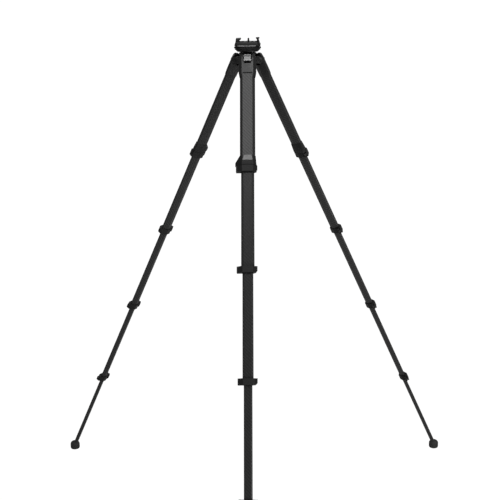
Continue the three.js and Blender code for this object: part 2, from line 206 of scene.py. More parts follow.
def carbon_fibre(name, dark, light, outer):
    """A 2x2 twill of tows, laid along the 'weave' coordinates, under a satin clear coat. The
    flat outer face has the flanks' tone times outer: painted light, a highlight where outer is
    above 1 and painted shade where it is below 1."""
    g = Graph(name)
    weave = g.add("ShaderNodeAttribute", attribute_name="weave")
    split = g.add("ShaderNodeSeparateXYZ")
    g.link(weave.outputs["Vector"], split.inputs[0])
    u = g.math("DIVIDE", split.outputs["X"], TOW_WIDTH)
    v = g.math("DIVIDE", split.outputs["Y"], TOW_WIDTH)
    cell = g.math("ADD", g.math("FLOOR", u), g.math("FLOOR", v))
    warp = g.math("LESS_THAN", g.math("FLOORED_MODULO", cell, TWILL_REPEAT), TWILL_REPEAT / 2 - 0.5)
    across_u = g.math("SINE", g.math("MULTIPLY", g.math("FRACT", u), math.pi))
    across_v = g.math("SINE", g.math("MULTIPLY", g.math("FRACT", v), math.pi))
    crown = g.mix(warp, across_u, across_v)
    fine = g.add("ShaderNodeMapping")
    g.link(weave.outputs["Vector"], fine.inputs["Vector"])
    fine.inputs["Scale"].default_value = FILAMENT_SCALE
    streaks = g.noise(1.0, 2.0, 0.5, fine.outputs["Vector"])
    tone = g.mix(warp, g.spread(streaks, dark, dark * 1.6), g.spread(streaks, light * 0.6, light))
    cloudy = g.noise(14.0, 4.0, 0.6)
    # painted light on the flat outer face: a highlight on the widest tube, painted shade on the
    # narrower tubes and the column
    face = g.spread(split.outputs["Z"], 1.0, outer)
    shade = g.math("MULTIPLY", g.math("MULTIPLY", tone, face), g.spread(cloudy, 0.82, 1.18))
    g.bump(crown, 0.28, 0.0002)
    return g.set(
        Base_Color=shade,
        Roughness=g.spread(cloudy, 0.33, 0.47),
        Metallic=0.0,
        Specular_IOR_Level=0.12,
        Coat_Weight=0.05,
        Coat_Roughness=0.25,
    )


def anodised_metal(name, grey, worn, rough=0.42):
    """Bead-blasted, anodised aluminium that shows paler metal along its edges."""
    g = Graph(name)
    grain = g.noise(2600.0, 2.0, 0.6)
    cloudy = g.noise(38.0, 4.0, 0.6)
    base = g.math("MULTIPLY", g.spread(cloudy, 0.84, 1.16), grey)
    patches = g.ramp(g.noise(210.0, 4.0, 0.7), (0.42, 0.1), (0.62, 0.7))
    scuffs = g.math("MULTIPLY", g.edges(0.53, 0.6), patches)
    g.bump(grain, 0.12, 0.00012)
    return g.set(
        Base_Color=g.mix(scuffs, base, worn),
        Roughness=g.spread(cloudy, rough - 0.07, rough + 0.08),
        Metallic=0.6,
    )


def moulded_plastic(name, grey, worn, rough=0.5):
    """Fine spark-textured nylon."""
    g = Graph(name)
    grain = g.noise(1500.0, 3.0, 0.65)
    cloudy = g.noise(45.0, 4.0, 0.55)
    base = g.math("MULTIPLY", g.spread(cloudy, 0.8, 1.2), grey)
    g.bump(grain, 0.22, 0.00015)
    return g.set(
        Base_Color=g.mix(g.math("MULTIPLY", g.edges(), 0.7), base, worn),
        Roughness=g.spread(grain, rough - 0.08, rough + 0.1),
        Specular_IOR_Level=0.15,
        Metallic=0.0,
    )


def moulded_rubber(name, grey):
    """Matt rubber with a dusty bloom."""
    g = Graph(name)
    grain = g.noise(900.0, 4.0, 0.6)
    bloom = g.noise(60.0, 5.0, 0.7)
    base = g.math("MULTIPLY", g.spread(bloom, 0.7, 1.45), grey)
    g.bump(grain, 0.3, 0.0002)
    return g.set(
        Base_Color=base,
        Roughness=g.spread(bloom, 0.72, 0.9),
        Specular_IOR_Level=0.22,
    )


def turned_steel(name, grey, rough=0.26):
    """Machined steel with fine turning marks and a few smears."""
    g = Graph(name)
    smear = g.noise(70.0, 4.0, 0.6)
    marks = g.noise(3400.0, 1.0, 0.4)
    g.bump(marks, 0.06, 0.0001)
    return g.set(
        Base_Color=g.math("MULTIPLY", g.spread(smear, 0.85, 1.12), grey),
        Roughness=g.spread(smear, rough - 0.06, rough + 0.12),
        Metallic=1.0,
    )


def vial_glass():
    """The spirit level's window, with its pale green fluid behind."""
    g = Graph("vial_glass")
    haze = g.noise(90.0, 2.0, 0.4)
    g.bump(haze, 0.02, 0.0001)
    g.shader.inputs["Base Color"].default_value = (0.62, 0.66, 0.5, 1)
    return g.set(Roughness=g.spread(haze, 0.04, 0.1), Coat_Weight=1.0, Coat_Roughness=0.04)


# the flat outer face carries painted light: painted shade (0.6) on the narrower tubes and the column, a
# painted highlight (2.6) on the widest tube
CARBON_FACE_SHADE = carbon_fibre("carbon_fibre", 0.0105, 0.028, 0.6)
CARBON_FACE_HIGHLIGHT = carbon_fibre("carbon_fibre_widest_face_highlight", 0.0085, 0.023, 2.6)
BLACK_METAL = anodised_metal("black_anodised", 0.011, 0.042)
HEAD_METAL = anodised_metal("head_anodised", 0.0062, 0.032)
GREY_METAL = anodised_metal("grey_anodised", 0.082, 0.2, 0.4)
PLATE_GREY = anodised_metal("plate_grey", 0.082, 0.13, 0.5)
# pale grey that paints the highlight along the clamp's lower chamfers
EDGE_HIGHLIGHT = anodised_metal("painted_highlight_edge", 0.55, 0.7, 0.5)
PLASTIC = moulded_plastic("moulded_plastic", 0.0038, 0.012)
RUBBER = moulded_rubber("moulded_rubber", 0.0038)
RUBBER_DUSTY = moulded_rubber("dusty_rubber", 0.017)
# near-black rubber that paints the shade in the groove above the first lock
GROOVE_SHADE = moulded_rubber("painted_groove_shade", 0.0012)
STEEL = turned_steel("turned_steel", 0.3)
STEEL_DARK = turned_steel("blackened_steel", 0.03, 0.34)
GLASS = vial_glass()


# ---- mesh helpers -------------------------------------------------------------------
BEVEL_ANGLE = math.radians(28)
WELD_REACH = 1e-5
CORNER_SHARE = 0.45  # how much of a side a rounded corner may take


def finish_shading(obj, bevel, segments=3):
    """Rounds sharp edges and evens out the shading."""
    for polygon in obj.data.polygons:
        polygon.use_smooth = True
    weld = obj.modifiers.new("weld", "WELD")
    weld.merge_threshold = WELD_REACH
    if bevel:
        edge = obj.modifiers.new("bevel", "BEVEL")
        edge.width = bevel * MM
        edge.segments = segments
        edge.limit_method = "ANGLE"
        edge.angle_limit = BEVEL_ANGLE
        edge.harden_normals = True
        edge.use_clamp_overlap = True
    normals = obj.modifiers.new("normals", "WEIGHTED_NORMAL")
    normals.keep_sharp = True


def make(name, shells, place, body, material, replaces=(), bevel=0.0):
    """One piece from [(points, faces), ...] in millimetres in the given axes."""
    points, faces = [], []
    for own_points, own_faces in shells:
        start = len(points)
        points += [place @ Vector(p) for p in own_points]
        faces += [[start + i for i in f] for f in own_faces]
    mesh = bpy.data.meshes.new(name)
    mesh.from_pydata(points, [], faces)
    solid = bmesh.new()
    solid.from_mesh(mesh)
    bmesh.ops.recalc_face_normals(solid, faces=solid.faces)
    solid.to_mesh(mesh)
    solid.free()
    mesh.materials.append(material)
    obj = bpy.data.objects.new(name, mesh)
    bpy.context.scene.collection.objects.link(obj)
    finish_shading(obj, bevel)
    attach(obj, body)
    if replaces:
        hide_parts(*replaces)
    return obj


def bridge(rings, close=False):
    """A skin over rings of equal length, capped at its ends or closed on itself."""
    n = len(rings[0])
    points = [p for ring in rings for p in ring]
    spans = len(rings) if close else len(rings) - 1
    faces = []
    for i in range(spans):
        a, b = i * n, ((i + 1) % len(rings)) * n
        faces += [[a + k, a + (k + 1) % n, b + (k + 1) % n, b + k] for k in range(n)]
    if not close:
        faces.append(list(range(n))[::-1])
        faces.append([len(points) - n + k for k in range(n)])
    return points, faces


def round_about(radius, angle, along, axis, centre):
    """A point at a radius and angle about an axis through the centre, and a distance along it."""
    own = (radius * math.cos(angle), radius * math.sin(angle), along)
    order = {"z": (0, 1, 2), "x": (2, 0, 1), "y": (1, 2, 0)}[axis]
    return tuple(own[order[k]] + centre[k] for k in range(3))


def lathe(profile, sides=64, centre=(0, 0, 0), axis="z", flutes=None):
    """A turned shell around an axis through the centre. The profile holds (radius, along), or
    (radius, along, amount) where amount of the flutes, a function of the angle, is added."""
    rings = []
    for radius, along, *amount in profile:
        ring = []
        for i in range(sides):
            a = 2 * math.pi * i / sides
            r = radius + (amount[0] * flutes(a) if amount else 0.0)
            ring.append(round_about(r, a, along, axis, centre))
        rings.append(ring)
    closed = profile[0] == profile[-1]
    if closed:
        rings.pop()
    return bridge(rings, close=closed)


def lobes(count, power):
    """Round bumps about an axis, as a function of the angle."""
    return lambda a: max(0.0, math.cos(count * a)) ** power


def teeth(count):
    """Pointed teeth about an axis, as a function of the angle."""
    return lambda a: abs((a * count / (2 * math.pi)) % 1.0 * 2.0 - 1.0)


def arc(radius, start, end, steps, middle):
    """Profile points on a circle round the axis, angles in degrees from straight down."""
    points = []
    for i in range(steps + 1):
        a = math.radians(start + (end - start) * i / steps)
        points.append((max(AXIS, radius * math.sin(a)), middle - radius * math.cos(a)))
    return points


def rounded(points, radius, steps=4):
    """A closed outline whose corners are replaced by smooth curves."""
    out = []
    count = len(points)
    for i in range(count):
        before, here, after = (Vector(points[j]) for j in ((i - 1) % count, i, (i + 1) % count))
        to_before = (before - here).normalized()
        to_after = (after - here).normalized()
        half = to_before.angle(to_after) / 2
        shortest = min((before - here).length, (after - here).length)
        reach = min(radius / math.tan(half), CORNER_SHARE * shortest)
        start, end = here + to_before * reach, here + to_after * reach
        for k in range(steps + 1):
            t = k / steps
            out.append(tuple(start * (1 - t) ** 2 + here * 2 * t * (1 - t) + end * t**2))
    return out


def level(outline, z):
    """A flat outline lifted to a height."""
    return [(x, y, z) for x, y in outline]


def box_shell(low, high, round_z=0.0):
    """A block between two corners, its upright edges rounded."""
    outline = [(low[0], low[1]), (high[0], low[1]), (high[0], high[1]), (low[0], high[1])]
    if round_z:
        outline = rounded(outline, round_z)
    return bridge([level(outline, low[2]), level(outline, high[2])])


# ---- tubes --------------------------------------------------------------------------
FACE_SHARE = 0.33  # half the flat outer face, as a share of the width
CHAMFER_SHARE = 0.27  # end of the chamfer outward of the centre line, as a share of the depth
FLANK_SHARE = 0.08  # end of the upright flank, likewise
INNER_SHARE = 0.2  # half the inner face, as a share of the width


def leg_section(width, depth, side=0.0, face=None):
    """The leg outline: flat outer face, chamfers, flanks, narrow inner face. It grows by side
    all round, or by side across and by face in depth."""
    w = width + 2 * side
    d = depth + 2 * (side if face is None else face)
    right = [(FACE_SHARE * w, -0.5 * d), (0.5 * w, -CHAMFER_SHARE * d)]
    right += [(0.5 * w, -FLANK_SHARE * d), (INNER_SHARE * w, 0.5 * d)]
    left = [(-x, y) for x, y in reversed(right)]
    return [(x, y - LEG_OUTSET) for x, y in right + left]


def section_body(leg, index):
    """The moving body that a tube, and the lock at its foot, belong to."""
    return f"{leg}_leg" if index == 1 else f"{leg}_section_{index}"


def add_weave(obj, rings, lengths, seam=0):
    """Coordinates around and along a tube, in metres, and 1 on its flat outer face. The cloth's
    ends meet at the seam, a point's number in each ring."""
    attribute = obj.data.attributes.new("weave", "FLOAT_VECTOR", "POINT")
    values = []
    for ring, along in zip(rings, lengths):
        around = 0.0
        outermost = min(point[1] for point in ring)
        own = [None] * len(ring)
        for step in range(len(ring)):
            i = (seam + step) % len(ring)
            # 1 marks the flat outer face, where carbon_fibre paints its face highlight and face shade
            on_face = 1.0 if ring[i][1] < outermost + FACE_REACH else 0.0
            own[i] = (around, along * MM, on_face)
            after = ring[(i + 1) % len(ring)]
            around += (Vector(after) - Vector(ring[i])).length * MM
        values += own
    attribute.data.foreach_set("vector", [c for v in values for c in v])


def tube_size(leg, index):
    """A tube's width, its depth, and its lowest and highest corners."""
    low, high = local_box(f"{leg}_tube_{index}", LEG[leg])
    return high.x - low.x, high.y - low.y, low, high


def tube(leg, index):
    """A hollow woven shell with rounded corners, in place of the CAD tube."""
    node = f"{leg}_tube_{index}"
    width, depth, low, high = tube_size(leg, index)
    outer = rounded(leg_section(width, depth), TUBE_CORNER_R, CORNER_STEPS)
    inner = rounded(leg_section(width, depth, -WALLS[index - 1]), BORE_CORNER_R, CORNER_STEPS)
    lengths = (high.z, high.z, low.z, low.z)
    rings = [level(outline, z) for outline, z in zip((inner, outer, outer, inner), lengths)]
    # the widest tube's carbon has a painted highlight on its outer face, and the others have painted
    # shade there
    cloth = CARBON_FACE_HIGHLIGHT if index == 1 else CARBON_FACE_SHADE
    shell = bridge(rings, close=True)
    obj = make(f"{node}_shell", [shell], LEG[leg], section_body(leg, index), cloth, [node])
    inner_corner = 3 * (CORNER_STEPS + 1) + CORNER_STEPS // 2
    add_weave(obj, rings, lengths, inner_corner)


for leg_name in LEGS:
    for section_number in SECTIONS:
        tube(leg_name, section_number)


# ---- carried-over CAD nodes ---------------------------------------------------------
def dress(node, material, bevel):
    """Gives a CAD node its material and soft edges."""
    obj = NODES[node]
    obj.data.materials.clear()
    obj.data.materials.append(material)
    finish_shading(obj, bevel, segments=2)


for leg_name in LEGS:
    dress(f"{leg_name}_yoke", BLACK_METAL, 0.8)
    dress(f"{leg_name}_angle_latch", GREY_METAL, 0.6)
    for lock in LOCKS:
        dress(f"{leg_name}_collar_{lock}", PLASTIC, 0.6)
        dress(f"{leg_name}_lever_{lock}", PLASTIC, 0.7)
for cad_node, cad_material, cad_bevel in (
    ("hub", BLACK_METAL, 0.7),
    ("ball_socket", PLASTIC, 0.3),
    ("clamp_body", HEAD_METAL, 0.8),
    ("sliding_jaw", HEAD_METAL, 0.5),
):
    dress(cad_node, cad_material, cad_bevel)


# ---- small parts on the legs --------------------------------------------------------
LOCK_BOTTOM = {k: local_box(f"front_collar_{k}", LEG["front"])[0].z for k in LOCKS}
SIDES = ((-1, "left"), (1, "right"))


def cap_screw(radius, depth, socket, centre, axis, outward=1):
    """A low round head with a hexagonal socket, on a face that looks along an axis."""
    head = ((radius, 0.0), (radius, 0.62), (0.86 * radius, 1.0), (0.5 * radius, 1.0))
    hole = ((socket, 1.0), (socket, 0.35), (AXIS, 0.3))
    sides = 48
    rings = []
    for r, along in head + hole:
        ring = []
        for i in range(sides):
            a = 2 * math.pi * i / sides
            hexagon = 1.0
            if r <= socket:
                within = (a % (math.pi / 3)) - math.pi / 6
                hexagon = math.cos(math.pi / 6) / math.cos(within)
            ring.append(round_about(r * hexagon, a, outward * along * depth, axis, centre))
        rings.append(ring)
    return bridge(rings)


def pivot_caps(leg):
    """A raised washer and a screw head on each end of the pivot."""
    body = f"{leg}_leg"
    face = local_box(f"{leg}_yoke", LEG[leg])[1].x
    washer = [(4.0, 0.1), (8.3, 0.1), (8.3, 0.7), (7.6, 1.2), (6.0, 1.2), (5.4, 0.7), (4.0, 0.7)]
    washer.append(washer[0])
    for side, word in SIDES:
        shell = lathe([(r, side * (face + t)) for r, t in washer], 72, axis="x")
        make(f"{leg}_pivot_washer_{word}", [shell], LEG[leg], body, BLACK_METAL)
        head = cap_screw(5.0, 0.9, 2.2, (side * (face - 0.2), 0, 0), "x", side)
        make(f"{leg}_pivot_screw_{word}", [head], LEG[leg], body, STEEL_DARK, bevel=0.12)


def yoke_screws(leg):
    """Two clamp screws on each cheek of the yoke."""
    cheek = 21.6
    y = -LEG_OUTSET - 4.6
    for side, word in SIDES:
        for z, place_word in ((-33.5, "lower"), (-20, "upper")):
            shell = cap_screw(2.2, 1.1, 1.0, (side * cheek, y, z), "x", side)
            name = f"{leg}_yoke_screw_{word}_{place_word}"
            make(name, [shell], LEG[leg], f"{leg}_leg", STEEL_DARK, bevel=0.1)


def label_plate(leg):
    """The plain pale plate over the top of the first lock, narrower and lower at its top."""
    bottom, top = LOCK_BOTTOM[1] + 30.0, LOCK_BOTTOM[1] + 43.3
    face = tube_size(leg, 1)[2].y
    lower, upper = face - 2.1, face - 0.9
    half_bottom, half_top = 13.2, 9.6
    outline = [(-half_bottom, bottom), (half_bottom, bottom), (half_top, top), (-half_top, top)]
    outline = rounded(outline, 1.4)
    rings = []
    for back, shrink in ((1.0, 1.0), (0.0, 1.0), (-0.35, 0.96)):
        ring = []
        for x, z in outline:
            t = (z - bottom) / (top - bottom)
            ring.append((x * shrink, lower + t * (upper - lower) + back, z))
        rings.append(ring)
    make(f"{leg}_label_plate", [bridge(rings)], LEG[leg], f"{leg}_leg", PLATE_GREY)


def lock_pins(leg, k):
    """The caps of a lever's hinge pin, low enough to clear the next lock on a folded leg."""
    pos = JOINTS[f"{leg}_lever_{k}_flip"]["pos_m"]
    x, y, z = LEG[leg].inverted() @ Vector(pos)
    half = LOCK_HEIGHT / 2 - 0.05
    for outward, word in ((1, "top"), (-1, "bottom")):
        shell = cap_screw(2.1, 0.25, 0.9, (x, y, z + outward * half), "z", outward)
        name = f"{leg}_hinge_pin_{k}_{word}"
        make(name, [shell], LEG[leg], section_body(leg, k), STEEL_DARK)


def lever_grip(leg, k):
    """Ribs moulded on the chamfer at a lever's finger end."""
    low, high = local_box(f"{leg}_lever_{k}", LEG[leg])
    half = local_box(f"{leg}_collar_{k}", LEG[leg])[1].x + GAP + STRAP
    deep = -LEG_OUTSET - low.y
    flat, drop = 2 * STRAP_FLAT * half, (1 - 2 * STRAP_CHAMFER) * deep
    slope = drop / (half - flat)
    ribs = 4
    root, crest = 0.8, 0.3  # a rib's half height at its foot and at its top
    shells = []
    for i in range(ribs):
        z = low.z + (i + 0.9) * (high.z - low.z) / (ribs + 0.5)
        rings = []
        for x in (flat + 2.0, high.x - 1.0):
            y = low.y + (x - flat) * slope
            foot_side = [(x, y + root, z - root), (x, y + root, z + root)]
            rings.append(foot_side + [(x, y - crest, z + crest), (x, y - crest, z - crest)])
        shells.append(bridge(rings))
    make(f"{leg}_lever_grip_{k}", shells, LEG[leg], f"{leg}_lever_{k}", PLASTIC, bevel=0.15)


def yoke_edge_shade(leg):
    """A dark strip of painted shade where the yoke's outer plate shadows the tube below it."""
    face = tube_size(leg, 1)[2].y
    half = NOTCH_HALF - 0.2
    shell = box_shell((-half, face - 1.3, -NOTCH_TOP - 1.9), (half, face + 0.3, -NOTCH_TOP + 0.4))
    # the dark rubber here paints the shadow under the plate's lower edge
    make(f"{leg}_yoke_edge_shade", [shell], LEG[leg], f"{leg}_leg", RUBBER, bevel=0.3)


def band(inner, outer, low, high):
    """A closed band between two outlines and two heights."""
    rings = [level(inner, low), level(outer, low), level(outer, high), level(inner, high)]
    return bridge(rings, close=True)


def wiper(leg, k):
    """The thin seal where a tube leaves the lock above it."""
    width, depth, _, _ = tube_size(leg, k + 1)
    outer = rounded(leg_section(width, depth, 1.5), 2.6)
    inner = rounded(leg_section(width, depth, 0.12), 2.2)
    shell = band(inner, outer, LOCK_BOTTOM[k] - 0.4, LOCK_BOTTOM[k] - 0.05)
    make(f"{leg}_wiper_{k}", [shell], LEG[leg], section_body(leg, k), RUBBER)


def lock_groove_shade(leg):
    """A near-black band of painted shade in the groove between the first lock's flare and its lever."""
    width, depth, _, _ = tube_size(leg, 1)
    collar_low, collar_high = local_box(f"{leg}_collar_1", LEG[leg])
    proud = 0.2
    side = collar_high.x - width / 2 + proud
    face = -LEG_OUTSET - depth / 2 - collar_low.y + proud
    top = LOCK_BOTTOM[1] + LOCK_HEIGHT
    inner, outer = leg_section(width, depth, 1.0), leg_section(width, depth, side, face)
    shell = band(inner, outer, top + 0.1, top + 2.2)
    make(f"{leg}_lock_groove_shade", [shell], LEG[leg], f"{leg}_leg", GROOVE_SHADE, bevel=0.2)


def foot(leg):
    """A domed rubber foot with three grooves, upright while the leg is at rest."""
    node = f"{leg}_foot"
    scale = Matrix.Scale(MM, 4)
    low, high = local_box(node, scale)
    middle = (low + high) / 2
    place = scale @ Matrix.Translation((middle.x, middle.y, 0))
    radius = (high.x - low.x) / 2
    height = high.z - low.z
    profile = [(AXIS, 0.6), (radius - 6.5, 0.6), (radius - 5.6, 0.0), (radius - 3.4, 0.0)]
    profile += [(radius - 1.2, 1.3), (radius - 0.5, 3.4)]
    for groove in (5.6, 9.0, 12.4):
        profile += [(radius - 0.1, groove - 1.0), (radius - 0.8, groove - 0.4)]
        profile += [(radius - 0.8, groove + 0.4), (radius - 0.05, groove + 1.0)]
    dome_steps = 14
    dome_reach, shoulder = 8.2, 14.2
    for i in range(dome_steps + 1):
        a = math.radians(90 * i / dome_steps)
        along = shoulder + (height - shoulder - 0.1) * math.sin(a)
        profile.append((radius - 0.1 - dome_reach + dome_reach * math.cos(a), along))
    profile.append((AXIS, height))
    shell = lathe(profile, 72)
    make(f"{node}_shell", [shell], place, f"{leg}_section_5", RUBBER_DUSTY, [node])


for leg_name in LEGS:
    pivot_caps(leg_name)
    yoke_screws(leg_name)
    label_plate(leg_name)
    yoke_edge_shade(leg_name)
    lock_groove_shade(leg_name)
    foot(leg_name)
    for lock in LOCKS:
        lock_pins(leg_name, lock)
        lever_grip(leg_name, lock)
        wiper(leg_name, lock)


# ---- the head, turned pieces --------------------------------------------------------
def head_base():
    """The three-cornered plate at the column's top, with a round seat and a screw in each corner."""
    low, high = local_box("head_base", HEAD)
    reach = high.y
    corner_half, screw_circle = 5, 18.6
    lobes_at = ((-150, "left"), (-30, "right"), (90, "rear"))
    corners = []
    for middle, _ in lobes_at:
        for degrees in (middle - corner_half, middle + corner_half):
            a = math.radians(degrees)
            corners.append((reach * math.cos(a), reach * math.sin(a)))
    outline = rounded(corners, 5.0, 5)
    steps = [(0.96, low.z), (1.0, low.z + 1.0), (1.0, high.z - 1.1), (0.98, high.z - 0.5)]
    steps += [(0.95, high.z - 0.1), (0.93, high.z)]
    rings = []
    for share, z in steps:
        rings.append([(x * share, y * share, z) for x, y in outline])
    seat_steps = ((10.0, 0.0), (9.8, 0.15), (9.8, 0.6), (AXIS, 0.6))
    for radius, sunk in seat_steps:
        seat = [Vector(p).normalized() * radius for p in outline]
        rings.append([(p.x, p.y, high.z - sunk) for p in seat])
    shell = bridge(rings)
    make("head_base_plate", [shell], HEAD, "column", BLACK_METAL, ["head_base"])
    for degrees, word in lobes_at:
        a = math.radians(degrees)
        at = (screw_circle * math.cos(a), screw_circle * math.sin(a), high.z - 0.2)
        screw = cap_screw(2.0, 0.6, 1.0, at, "z")
        make(f"head_base_screw_{word}", [screw], HEAD, "column", STEEL_DARK, bevel=0.08)


def ball():
    """A polished ball on a short foot."""
    foot_z = local_box("ball", HEAD)[0].z
    foot_r = 6.0
    start = math.degrees(math.asin(foot_r / BALL_R))
    profile = [(AXIS, foot_z), (foot_r, foot_z)] + arc(BALL_R, start, 180, 28, BALL_Z)
    make("ball_shell", [lathe(profile, 72)], HEAD, "pan", STEEL, ["ball"])


def adjusting_ring():
    """The wide ring under the lock ring, finely serrated round its rim."""
    top, rim = 28.7, 32.4
    profile = [(SOCKET_R, top), (SOCKET_R, 24.6), (12.0, 22.4), (12.0, 21.2), (12.4, 20.8)]
    profile += [(13.8, 20.8), (16.0, 21.2), (18.5, 21.6), (26.4, 21.6), (27.6, 22.1)]
    profile += [(28.6, 23.0), (29.0, 23.6), (29.0, 25.0), (rim - 0.5, 26.2)]
    profile += [(rim, 26.5, 0.0), (rim, 26.8, 0.6), (rim, 28.1, 0.6), (rim, 28.4, 0.0)]
    profile += [(rim - 0.3, top), (SOCKET_R, top)]
    shell = lathe(profile, 360, flutes=teeth(90))
    make("adjusting_ring_shell", [shell], HEAD, "adjuster", HEAD_METAL, ["adjusting_ring"])


def lock_ring():
    """A rubber grip with twelve lobes under a machined bevel."""
    bore, foot_z, seam_z = 18.8, 29.05, 34.1
    grip = [(bore, foot_z), (31.4, foot_z), (32.0, 29.5, 1.6), (32.1, 30.2, 2.6), (32.1, 33.1, 2.6)]
    grip += [(32.0, 33.7, 2.1), (31.7, 34.0, 0.8), (31.2, seam_z), (bore, seam_z), (bore, foot_z)]
    shell = lathe(grip, 288, flutes=lobes(12, 0.8))
    make("lock_ring_grip", [shell], HEAD, "locker", RUBBER, ["lock_ring"])
    low, high = seam_z + 0.05, seam_z + 0.95
    bevel = [(bore, low), (32.0, low), (32.15, 34.3), (32.15, 34.5), (31.1, high), (bore, high)]
    bevel.append(bevel[0])
    make("lock_ring_bevel", [lathe(bevel, 144)], HEAD, "locker", HEAD_METAL)


def stop_pin():
    """The upright pin on the deck, grooved near its round top."""
    low, high = local_box("stop_pin", HEAD)
    radius = (high.x - low.x) / 2
    centre = ((low.x + high.x) / 2, (low.y + high.y) / 2, 0)
    profile = [(AXIS, low.z), (radius, low.z), (radius, high.z - 2.6), (radius - 0.35, high.z - 2.3)]
    profile += [(radius - 0.35, high.z - 1.8), (radius, high.z - 1.5), (radius, high.z - 0.7)]
    profile += [(radius - 0.5, high.z - 0.15), (radius - 1.2, high.z), (AXIS, high.z)]
    make("stop_pin_shell", [lathe(profile, 40, centre)], HEAD, "stop", HEAD_METAL, ["stop_pin"])


def centre_column():
    """The woven centre column, its ends chamfered."""
    low, high = local_box("centre_column", HEAD)
    radius = (high.x - low.x) / 2
    profile = [(AXIS, low.z), (radius - 0.6, low.z), (radius, low.z + 0.6)]
    profile += [(radius, high.z - 0.6), (radius - 0.6, high.z), (AXIS, high.z)]
    sides = 72
    shell = lathe(profile, sides)
    obj = make("centre_column_shell", [shell], HEAD, "column", CARBON_FACE_SHADE, ["centre_column"])
    rings = [shell[0][i : i + sides] for i in range(0, len(shell[0]), sides)]
    add_weave(obj, rings, [along for _, along in profile])


def column_knob():
    """A fluted rubber grip with a metal cap, on a threaded stem."""
    low, high = local_box("column_knob", HEAD)
    end = high.y
    centre = (0, 0, KNOB_Z)
    grip = [(AXIS, end - 9.0), (5.2, end - 9.0), (6.4, end - 8.6, 0.3), (6.9, end - 7.8, 0.9)]
    grip += [(7.0, end - 1.6, 0.95), (6.6, end - 0.7, 0.6), (5.6, end - 0.2), (AXIS, end - 0.2)]
    shell = lathe(grip, 144, centre, "y", lobes(6, 1.0))
    make("column_knob_grip", [shell], HEAD, "knob", RUBBER, ["column_knob"])
    pitch, root, crest = 1.0, 1.85, 2.2
    stem = [(AXIS, low.y)]
    along = low.y + 0.2
    while along < end - 9.4:
        stem += [(root, along), (crest, along + 0.35), (crest, along + 0.5), (root, along + 0.85)]
        along += pitch
    stem += [(crest, end - 8.8), (AXIS, end - 8.8)]
    make("column_knob_stem", [lathe(stem, 32, centre, "y")], HEAD, "knob", STEEL_DARK)
    cap = [(AXIS, end - 0.4), (4.2, end - 0.4), (4.2, end - 0.1), (3.7, end), (AXIS, end)]
    make("column_knob_cap", [lathe(cap, 48, centre, "y")], HEAD, "knob", STEEL)


def ballast_hook():
    """A plug in the column's foot that carries a bright round eye."""
    top = local_box("ballast_hook", HEAD)[1].z
    plug = [(AXIS, top - 8.0), (4.0, top - 8.0), (6.4, top - 6.9), (8.1, top - 5.6)]
    plug += [(8.5, top - 4.8), (8.5, top - 0.4), (8.1, top), (AXIS, top)]
    shell = lathe(plug, 64)
    make("ballast_hook_plug", [shell], HEAD, "hook", BLACK_METAL, ["ballast_hook"])
    middle, radius, wire = top - 14.5, 7.0, 1.75
    turns, sides = 72, 20
    rings = []
    for i in range(turns):
        a = 2 * math.pi * i / turns
        ring = []
        for k in range(sides):
            b = 2 * math.pi * k / sides
            reach = radius + wire * math.cos(b)
            ring.append((reach * math.cos(a), wire * math.sin(b), middle + reach * math.sin(a)))
        rings.append(ring)
    make("ballast_hook_eye", [bridge(rings, close=True)], HEAD, "hook", STEEL)


head_base()
ball()
adjusting_ring()
lock_ring()
stop_pin()
centre_column()
column_knob()
ballast_hook()


# ---- small parts on the head and hub ------------------------------------------------
def deck_pads():
    """Grippy strips let into the clamp's deck."""
    offset, half, length, spacing = 12.5, 2.6, 2.6, 4.2
    for side, word in SIDES:
        x = side * offset
        shells = []
        for i in range(9):
            y = -16 + i * spacing
            shells.append(box_shell((x - half, y, DECK), (x + half, y + length, DECK + 0.65), 0.5))
        make(f"deck_pad_{word}", shells, HEAD, "head", RUBBER, bevel=0.15)


def deck_screw():
    """The screw that holds the clamp on the ball."""
    shell = cap_screw(4.0, 0.55, 1.9, (0, 2, DECK + 0.2), "z")
    make("deck_screw", [shell], HEAD, "head", STEEL_DARK, bevel=0.1)


def bubble_level():
    """A round spirit level at the back of the deck: its bezel and its glass."""
    centre = (2.0, 20.0, DECK)
    bezel = [(2.9, 0.1), (4.3, 0.1), (4.3, 0.8), (3.9, 1.1), (3.0, 1.1), (2.9, 0.1)]
    make("level_bezel", [lathe(bezel, 48, centre)], HEAD, "head", STEEL)
    dome = [(AXIS, 0.2), (2.85, 0.2), (2.85, 0.4), (2.4, 0.8), (1.4, 1.12), (AXIS, 1.25)]
    make("level_vial", [lathe(dome, 48, centre)], HEAD, "head", GLASS)


def clamp_trim():
    """A pale metal line along the clamp's front and rear lower edges, where a machined chamfer is; its
    pale colour is a painted highlight.
    """
    face, sunk, proud = 27.0, 0.4, 0.15
    for outward, word in ((-1, "front"), (1, "rear")):
        inside, outside = outward * (face - sunk), outward * (face + proud)
        rings = []
        for x in (-24.8, 21.0):
            rings.append([(x, inside, 36.7), (x, outside, 36.9), (x, outside, 37.7), (x, inside, 37.9)])
        make(f"clamp_trim_{word}", [bridge(rings)], HEAD, "head", EDGE_HIGHLIGHT, bevel=0.08)


def jaw_screws():
    """Two screws through the sliding jaw's side."""
    for y, word in ((-10, "front"), (10, "rear")):
        shell = cap_screw(2.6, 1.0, 1.2, (32.5, y, 39.4), "x")
        make(f"jaw_screw_{word}", [shell], HEAD, "jaw", STEEL_DARK, bevel=0.1)


def column_bush():
    """The bush that shows under the hub, round the column."""
    collar = [(11.0, -16.9), (13.6, -16.9), (13.6, -16.1), (11.0, -16.1), (11.0, -16.9)]
    make("column_bush", [lathe(collar)], HEAD, "hub", PLASTIC, bevel=0.15)


